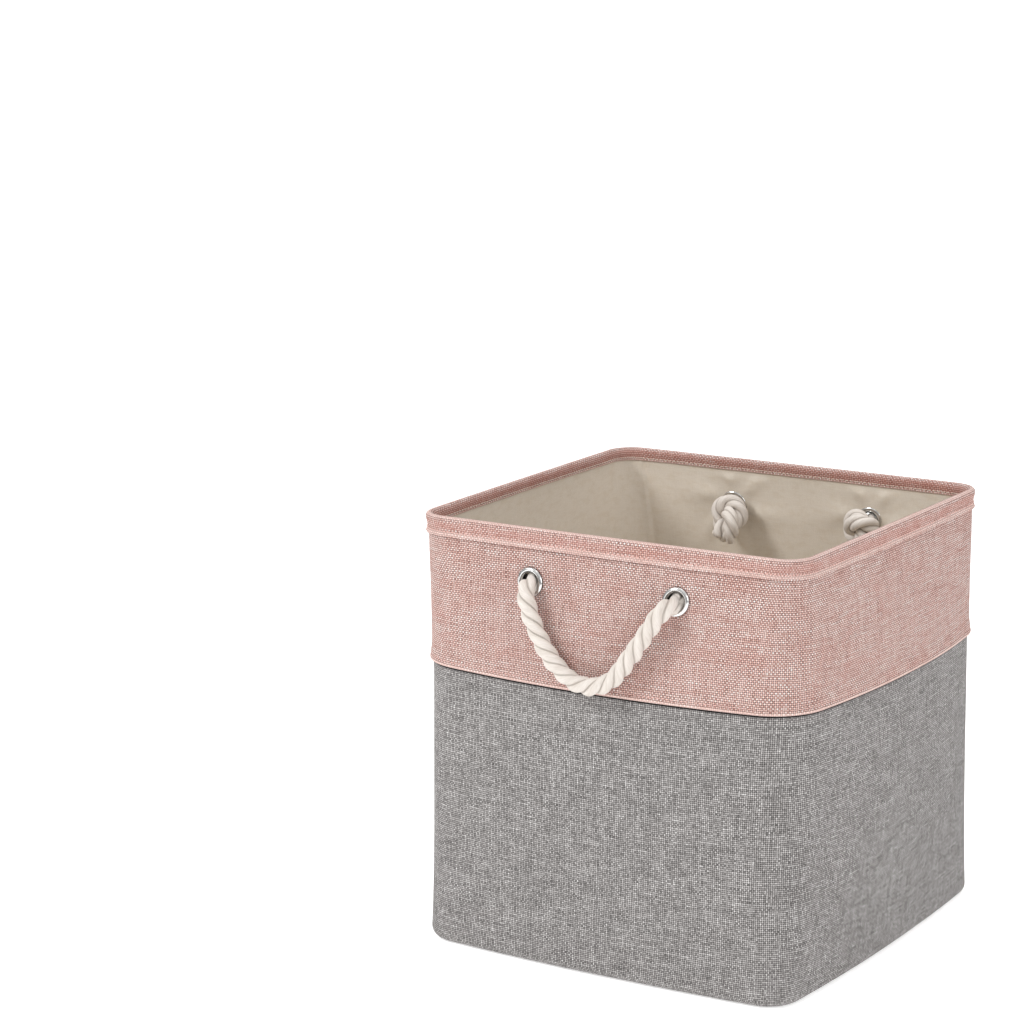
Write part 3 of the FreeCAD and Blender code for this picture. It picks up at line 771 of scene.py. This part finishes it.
def overhand(girth, count=90, steps=800):
    """The line of a tight overhand knot in a rope that comes up out of a hole at the origin: a loose one,
    drawn up in small steps while the rope keeps clear of itself and of the wall. It uses no chance."""
    lead = 6 * MM
    t = np.linspace(-1.99, 2.24, 300)
    body = np.stack([7 * (t**3 - 3 * t), 6 * (t**4 - 4 * t**2) + 6, 1.3 * (t**5 - 10 * t)], 1) * MM
    body[:, 2] += 6 * MM - body[0, 2]
    line = np.concatenate([[[0, 0, -lead], [0, 0, 0]], body])
    travel = travel_along(line)
    run = np.linspace(0, travel[-1], count)
    p = np.stack([np.interp(run, travel, line[:, k]) for k in range(3)], 1)
    index = np.arange(count)
    spread = abs(index[:, None] - index[None])
    for step in range(steps):
        share = min(1.0, step / (steps * 0.75))
        piece = (travel[-1] + (TIGHT_LENGTH * girth - travel[-1]) * share) / (count - 1)
        held = int(round(lead / piece)) + 1
        for _ in range(4):
            gap = np.diff(p, axis=0)
            move = 0.45 * gap * (1 - piece / np.linalg.norm(gap, axis=1)[:, None])
            p[:-1] += move
            p[1:] -= move
            p[:held] = np.column_stack([np.zeros(held), np.zeros(held), -lead + piece * np.arange(held)])
        p[1:-1] += 0.12 * (p[:-2] + p[2:] - 2 * p[1:-1])
        apart = p[:, None] - p[None]
        distance = np.linalg.norm(apart, axis=2) + 1e-9
        near = (spread * piece > 1.7 * girth) & (distance < girth)
        push = np.where(near, (girth - distance) / distance * 0.25, 0)[..., None] * apart
        p += push.sum(1) / np.maximum(1, near.sum(1) ** 0.5)[:, None]
        free = index > held + 3
        p[free, 2] = np.maximum(p[free, 2], 0.5 * girth + 2 * MM)
    return p


KNOT_GIRTH = 10.2 * MM
KNOT_ROPE = 12.4 * MM
KNOT_POINTS = 76
TAIL_POINTS = 10
KNOT = overhand(KNOT_GIRTH)[:KNOT_POINTS]
KNOT_TURNS = {
    ("front", "left"): 1.2, ("front", "right"): 4.1, ("back", "left"): 4.6, ("back", "right"): 2.6,
}


def knot_line(side_name, hand):
    """The knot's line on its wall, turned about the rope, hanging a little with its tail drooping."""
    centre, along, up, out = (np.array(v) for v in seat_frame(side_name, hand, LINING_FACE * MM))
    turn = KNOT_TURNS[side_name, hand]
    a = KNOT[:, 0] * math.cos(turn) - KNOT[:, 1] * math.sin(turn)
    b = KNOT[:, 0] * math.sin(turn) + KNOT[:, 1] * math.cos(turn)
    droop = np.clip((np.arange(KNOT_POINTS) - (KNOT_POINTS - TAIL_POINTS)) / TAIL_POINTS, 0, 1) ** 2
    b = b - 4 * MM * ease(KNOT[:, 2] / (12 * MM)) - 7 * MM * droop
    inward = KNOT[:, 2] - 3 * MM * droop
    return centre + a[:, None] * along + b[:, None] * up - inward[:, None] * out


for side_name, _ in SIDES:
    for hand in HANDS:
        line = knot_line(side_name, hand)
        knot = rope_mesh(f"{side_name}_{hand}_knot", line, KNOT_ROPE, around=60, start_turn=0.7)
        settle(knot, "bin", ROPE_COTTON, [f"{side_name}_{hand}_rope_knot"])

for side_name, _ in SIDES:
    line = rope_lines[side_name]


# ---------------------------------------------------------------- outer cloths

# The rounded lower edge of the shell, and the height at which the outer cloths end under the rim's binding.
EDGE = 8 * MM
TUCK_Z = 0.324
edge_turns = np.linspace(0, math.pi / 2, 9)
shell_profile = [(-EDGE * 1.4, 0.5 * MM)]
shell_profile += [(-EDGE * (1 - math.sin(t)), EDGE * (1 - math.cos(t))) for t in edge_turns]
shell_profile += straight_rows(0, 0, EDGE, TUCK_Z)[1:]
shell = sweep("outer_wall_cloth", shell_profile, 1.0 * MM, push=sag, holes=True)
settle(shell, "bin", GREY, ["outer_wall"])

# The band's lower edge, turned under and pressed in along its stitches: offset and height above it, in mm.
BAND_EDGE = [
    (1.5, 0.0), (2.0, -0.15), (2.5, 0.1), (2.75, 0.7), (2.75, 1.6), (2.5, 2.6), (1.9, 3.3), (1.6, 3.8),
    (1.95, 4.4), (2.15, 5.2), (2.0, 6.6), (1.6, 9.0), (1.25, 12.5),
]
band_profile = [(a * MM, BAND_Z + b * MM) for a, b in BAND_EDGE]
band_profile += straight_rows(1.2 * MM, 1.2 * MM, BAND_Z + BAND_EDGE[-1][1] * MM, TUCK_Z)[1:]
band = sweep("accent_band_cloth", band_profile, 0.9 * MM, push=sag, holes=True)
settle(band, "bin", PINK_BAND, ["accent_band"])


PUCKERS = 152


def rim_ripple(run, z):
    """The stitched binding stands off in long soft waves, and its lower fold puckers along the stitches."""
    pucker = 0.25 * MM * np.cos(PUCKERS * TAU * run / GIRTH) * ease((0.3185 - z) / 0.002)
    return 0.35 * MM * waves(run, z, 9, 6, 0.03, 2.0) + pucker


# The binding's section in mm, from its lower fold outside, over the wire, to its fold inside: offset, height.
RIM_EDGE = [
    (1.45, 315.6), (1.9, 315.0), (2.5, 315.0), (2.95, 315.6), (3.0, 316.4), (2.75, 317.3), (2.2, 318.2),
    (1.75, 318.9), (1.7, 319.8), (1.85, 321.2), (2.1, 322.8), (2.4, 324.4), (2.65, 326.0), (2.6, 327.6),
    (2.0, 328.9), (0.9, 329.8), (-0.6, 330.05), (-2.1, 329.8), (-3.3, 329.0), (-4.2, 327.8), (-4.6, 326.0),
    (-4.55, 324.4), (-4.4, 323.2), (-4.35, 322.2), (-4.7, 321.5), (-4.9, 320.7), (-4.7, 320.05),
    (-4.3, 319.95), (-3.95, 320.3),
]
rim_profile = [(a * MM, b * MM) for a, b in RIM_EDGE]
binding = sweep("rim_binding_cloth", rim_profile, 0.7 * MM, step=2.6 * MM, push=rim_ripple)
settle(binding, "bin", PINK_RIM, ["rim_binding"])


# ---------------------------------------------------------------- lining

LINING_SEAM_X = -0.141
SEAM_WIDTH = 2.4 * MM


def lining_folds(run, z):
    """Soft upright folds in the loose lining, and creases that run out from the knots."""
    fade = ease((0.316 - z) / 0.05) * ease((z - 0.006) / 0.03)
    below_rim = ease((0.319 - z) / 0.006)
    depth = -0.9 * MM * waves(run, z, 21, 8, 0.05, 0.5) * fade
    for number, (_, seat_run, seat_z) in enumerate(SEATS.values()):
        across = (run - seat_run + GIRTH / 2) % GIRTH - GIRTH / 2
        away = np.hypot(across, z - seat_z)
        angle = np.arctan2(z - seat_z, across)
        bend = 6 * angle + 1.7 * number + 0.8 * np.sin(2 * angle + number) + away * 30
        rays = (0.5 + 0.5 * np.cos(bend)) ** 2
        rays = rays * ease((away - 0.011) / 0.012) * np.exp(-((away / 0.042) ** 2))
        depth = depth - 3.0 * MM * rays * below_rim
        depth = depth - 0.5 * MM * np.exp(-(((away - 0.03) / 0.02) ** 2)) * below_rim
    seam = (run - float(run_of(wall_place(4, LINING_SEAM_X, 0.3)))) / SEAM_WIDTH
    return depth - 0.6 * MM * np.exp(-((seam - 1.5) ** 2)) + 0.7 * MM * np.exp(-(seam**2))


LINING_STEP = 2.4 * MM
lining_foot = [(-7, 2.7), (-3, 2.9), (-0.9, 4.0)]
lining_profile = [((LINING_FACE + a) * MM, b * MM) for a, b in lining_foot]
lining_profile += straight_rows(LINING_FACE * MM, LINING_FACE * MM, 6.5 * MM, 0.3235, LINING_STEP)
lining = sweep(
    "lining_wall_cloth", lining_profile, -0.6 * MM, step=LINING_STEP, push=lining_folds, holes=True,
)
settle(lining, "bin", LINING, ["lining_wall"])


# ---------------------------------------------------------------- floor

def disc(name, outline, levels):
    """A closed or open skin made of rings. levels lists (share of the outline, inset, height), and the UVs
    are its plan."""
    outline = np.asarray(outline, float)
    size = len(outline)
    inward = outline / np.linalg.norm(outline, axis=1)[:, None]
    points = []
    for share, inset, z in levels:
        ring = outline * share - inward * inset
        heights = z(ring) if callable(z) else np.full(size, z)
        points.append(np.column_stack([ring, heights]))
    points = np.concatenate(points)
    faces, _, _ = grid_faces(len(levels), size)
    faces = [tuple(f) for f in faces]
    middles = [len(levels) - 1] if levels[0][0] == 1 else [0, len(levels) - 1]
    for level in middles:
        ring = [level * size + k for k in range(size)]
        faces.append(tuple(ring if level else reversed(ring)))
    uvs = [points[k][:2] + 1.0 for face in faces for k in face]
    return new_mesh(name, points, faces, uvs)


def ring_shares(count):
    return list(np.linspace(1, 0, count + 1)[1:-1]) + [0.004]


def base_line(offset):
    """The wall's outline at the base, moved in or out."""
    return wall_point(np.linspace(0, 8, 240, endpoint=False), 0.0, offset)[0][:, :2]


base_levels = [(1, 0, 0.55 * MM), (1, 1.5 * MM, 0.15 * MM)] + [(s, 0, 0.12 * MM) for s in ring_shares(24)]
base = disc("outer_bottom_cloth", base_line(-EDGE * 1.25), base_levels)
thicken(base, 1.2 * MM, 1)
settle(base, "bin", GREY, ["outer_bottom"])

floor_levels = [(s, 0, 2.35 * MM) for s in [1] + ring_shares(24)]
floor_lining = disc("lining_floor_cloth", base_line((LINING_FACE - 5) * MM), floor_levels)
thicken(floor_lining, 0.6 * MM, -1)
settle(floor_lining, "bin", LINING, ["lining_floor"])

insert_low, insert_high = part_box("floor_board_cover")
INSERT_CORNER = 54 * MM


def insert_outline():
    """The floor board's outline in plan: a rectangle with round corners."""
    quarters = ((1, 1), (-1, 1), (-1, -1), (1, -1))

    def corner_point(quarter, angle):
        sx, sy = quarter
        return (sx * (insert_high.x - INSERT_CORNER) + INSERT_CORNER * math.cos(angle),
                sy * (insert_high.y - INSERT_CORNER) + INSERT_CORNER * math.sin(angle))

    points = []
    for k, quarter in enumerate(quarters):
        for t in np.linspace(0, math.pi / 2, 60):
            points.append(corner_point(quarter, t + k * math.pi / 2))
        start = np.array(points[-1])
        stop = np.array(corner_point(quarters[(k + 1) % 4], (k + 1) * math.pi / 2))
        for t in np.linspace(0, 1, 50)[1:-1]:
            points.append(tuple(start + (stop - start) * t))
    return points


def puff(low):
    """The height of the cover's soft upper face, as a function of the place in plan."""
    def height(ring):
        x, y = ring[:, 0], ring[:, 1]
        return low + 0.25 * MM * np.sin(x * 41 + 1) * np.cos(y * 37) + 0.12 * MM * np.sin(x * 90 + y * 60)
    return height


z0, z1 = insert_low.z, insert_high.z
under = [(s, 0, z0 + 0.1 * MM) for s in reversed(ring_shares(18))] + [(1, 1.6 * MM, z0 + 0.1 * MM)]
cover_edge = [
    (1, 0.6 * MM, z0 + 0.35 * MM), (1, 0.1 * MM, z0 + 1.2 * MM), (1, 0, z0 + 2.0 * MM),
    (1, 0.1 * MM, z1 - 1.3 * MM), (1, 0.7 * MM, z1 - 0.4 * MM),
]
over = [(1, 1.8 * MM, z1 - 0.1 * MM)] + [(s, 0, puff(z1)) for s in ring_shares(40)]
cover = disc("floor_board_cloth", insert_outline(), under + cover_edge + over)
thicken(cover, 0.5 * MM, -1)
settle(cover, "floor_insert", LINING, ["floor_board_cover"])


# ---------------------------------------------------------------- stitching

STITCH = 2.9 * MM
STITCH_GAP = 0.8 * MM
STITCH_STRAY = 0.1 * MM


def stitches(name, node, z, offset, radius, material, push=None):
    """A row of separate stitches round the bin, each a short thread whose ends dip into the cloth."""
    count = int(GIRTH / (STITCH + STITCH_GAP))
    runs = (np.arange(count) + 0.5) * GIRTH / count
    t = np.linspace(-1, 1, 9)
    ring = np.arange(7) * TAU / 7
    thick = np.sqrt(np.clip(1 - np.abs(t) ** 5, 0.02, 1))
    arch = 0.45 * (1 - t**2) - 0.3
    cosines, sines = np.tile(np.cos(ring), len(t)), np.tile(np.sin(ring), len(t))
    arch, thick = np.repeat(arch, len(ring)), np.repeat(thick, len(ring))
    points = []
    base_faces, i, j = grid_faces(len(t), len(ring))
    heights = z + STITCH_STRAY * rng.uniform(-1, 1, count)
    for run, height in zip(runs, heights):
        spots = np.repeat(run + t * STITCH / 2, len(ring))
        out = offset + radius * (arch + thick * cosines)
        rise = height + radius * thick * sines
        if push is not None:
            out = out + push(spots % GIRTH, rise)
        points.append((spots, rise, out))
    spots = np.concatenate([p[0] for p in points])
    rise = np.concatenate([p[1] for p in points])
    out = np.concatenate([p[2] for p in points])
    places = wall_point(place_of(spots), rise, out)[0]
    size = len(t) * len(ring)
    faces = np.concatenate([base_faces + k * size for k in range(count)])
    caps = []
    for k in range(count):
        caps.append(tuple(k * size + m for m in range(len(ring)))[::-1])
        caps.append(tuple(k * size + size - len(ring) + m for m in range(len(ring))))
    u = np.tile(np.stack([i, i, i + 1, i + 1], 1) * STITCH / len(t), (count, 1))
    v = np.tile(np.stack([j, j + 1, j + 1, j], 1) * radius, (count, 1))
    uvs = list(np.stack([u, v], -1).reshape(-1, 2)) + [(0.0, 0.0)] * (len(caps) * len(ring))
    obj = new_mesh(name, places, [tuple(f) for f in faces] + caps, uvs)
    return settle(obj, "bin", material, [node])


hem_row = stitches(
    "hem_stitches", "hem_stitching", 0.3192, 1.95 * MM, 0.32 * MM, PINK_THREAD, rim_ripple,
)
band_row = stitches(
    "band_stitches", "band_stitching", BAND_Z + 3.7 * MM, 1.6 * MM, 0.32 * MM, PINK_THREAD,
    sag,
)
lining_row = stitches(
    "lining_stitches", "lining_stitching", 0.3222, -4.6 * MM, 0.28 * MM, CREAM_THREAD,
)


# ---------------------------------------------------------------- eyelets

def lathe(name, section, seat, count=72):
    """A turned ring. section lists (radius, height out of the wall) pairs in mm round its closed section, and
    seat is its centre and directions."""
    profile = np.array(rounded(section)) * MM
    turns = np.arange(count) * TAU / count
    centre, along, up, out = (np.array(v) for v in seat)
    radius, height = profile[:, 0][:, None, None], profile[:, 1][:, None, None]
    spokes = np.cos(turns)[:, None] * along + np.sin(turns)[:, None] * up
    points = centre + radius * spokes + height * out
    rows = len(profile)
    faces, i, j = grid_faces(rows, count, closed=True)
    round_share = np.stack([j, j + 1, j + 1, j], 1) / count
    section_share = np.stack([i, i, i + 1, i + 1], 1) / rows
    return new_mesh(name, points.reshape(-1, 3), faces, np.stack([round_share, section_share], -1))


def rounded(points, count=7):
    """A closed section with its corners rounded off, from a quadratic curve through its sides' middles."""
    points = [np.array(p, float) for p in points]
    result = []
    for k, corner in enumerate(points):
        before = (points[k - 1] + corner) / 2
        after = (corner + points[(k + 1) % len(points)]) / 2
        for t in np.linspace(0, 1, count, endpoint=False):
            result.append((1 - t) ** 2 * before + 2 * t * (1 - t) * corner + t**2 * after)
    return result


# Closed sections in mm: radius, and height out of the wall.
EYELET_SECTION = [
    (11.0, 0.05), (11.0, 0.9), (10.3, 1.9), (9.0, 2.45), (7.8, 2.1), (7.1, 1.0), (7.0, -2.0), (7.0, -6.2),
    (7.6, -6.4), (7.55, -2.0), (7.7, 0.3), (8.4, 0.5), (10.0, 0.05),
]
WASHER_SECTION = [(7.75, 0.0), (11.0, 0.0), (11.1, 0.7), (10.2, 1.3), (8.8, 1.25), (7.75, 0.9)]
BAND_FACE = 1.25 * MM
for side_name, _ in SIDES:
    for hand in HANDS:
        key = f"{side_name}_{hand}"
        seat = seat_frame(side_name, hand, BAND_FACE)
        ring = lathe(f"{key}_eyelet_ring", EYELET_SECTION, seat)
        settle(ring, "bin", NICKEL, [f"{key}_eyelet"])
        centre, along, up, out = seat_frame(side_name, hand, LINING_FACE * MM)
        washer = lathe(f"{key}_washer_ring", WASHER_SECTION, (centre, -along, up, -out))
        settle(washer, "bin", WASHER_NICKEL, [f"{key}_washer"])


# ---------------------------------------------------------------- parts that keep their CAD shape

for node, material in {
    "front_wall_board": BOARD, "back_wall_board": BOARD, "left_wall_board": BOARD, "right_wall_board": BOARD,
    "floor_board": BOARD, "rim_wire": STEEL, "wire_sleeve": STEEL,
}.items():
    nodes[node].data.materials.clear()
    nodes[node].data.materials.append(material)


# ---------------------------------------------------------------- stage and light

def make_stage():
    size = 40.0
    corners = [(-size, -size, 0), (size, -size, 0), (size, size, 0), (-size, size, 0)]
    floor = new_mesh("stage_floor", corners, [(0, 1, 2, 3)], [(0, 0), (1, 0), (1, 1), (0, 1)])
    g = Graph("stage_white", 0.9, specular=0.1)
    place = g.add("ShaderNodeTexCoord", output=OBJECT_PLACE)
    colour = g.ramp(g.noise(place, 0.5), [(0.0, (250, 250, 250)), (1.0, (253, 253, 253))])
    g.shader.inputs["Emission Color"].default_value = (1, 1, 1, 1)
    g.shader.inputs["Emission Strength"].default_value = 0.5
    floor.data.materials.append(g.finish(colour))
    floor.location.z = -0.2 * MM


LIT_POINT = Vector((0, 0, 0.16))


def area_light(name, place, size, power):
    """A soft square lamp that faces the bin. size is its side in metres, power in watts."""
    data = bpy.data.lights.new(name, "AREA")
    data.shape = "RECTANGLE"
    data.size = data.size_y = size
    data.energy = power
    light = bpy.data.objects.new(name, data)
    bpy.context.scene.collection.objects.link(light)
    light.location = place
    light.rotation_mode = "QUATERNION"
    light.rotation_quaternion = (LIT_POINT - Vector(place)).to_track_quat("-Z", "Y")


def make_world():
    """A pale studio, brightest overhead, with a darker band near eye level for the metal to reflect."""
    world = bpy.data.worlds.new("studio")
    world.use_nodes = True
    tree = world.node_tree
    place = tree.nodes.new("ShaderNodeTexCoord")
    parts = tree.nodes.new("ShaderNodeSeparateXYZ")
    ramp = tree.nodes.new("ShaderNodeValToRGB")
    tree.links.new(place.outputs["Generated"], parts.inputs[0])
    tree.links.new(parts.outputs["Z"], ramp.inputs[0])
    elements = ramp.color_ramp.elements
    elements[0].position, elements[0].color = 0.05, (0.30, 0.30, 0.30, 1)
    elements[1].position, elements[1].color = 0.75, (1, 1, 1, 1)
    background = tree.nodes["Background"]
    tree.links.new(ramp.outputs[0], background.inputs["Color"])
    background.inputs["Strength"].default_value = 0.85
    bpy.context.scene.world = world


make_stage()
make_world()
area_light("key", (-1.5, -1.9, 2.1), 0.8, 38)
area_light("fill", (2.4, -1.0, 1.3), 1.4, 16)
area_light("top", (0.2, 0.4, 2.6), 1.6, 14)
bpy.context.scene.view_settings.view_transform = "Standard"
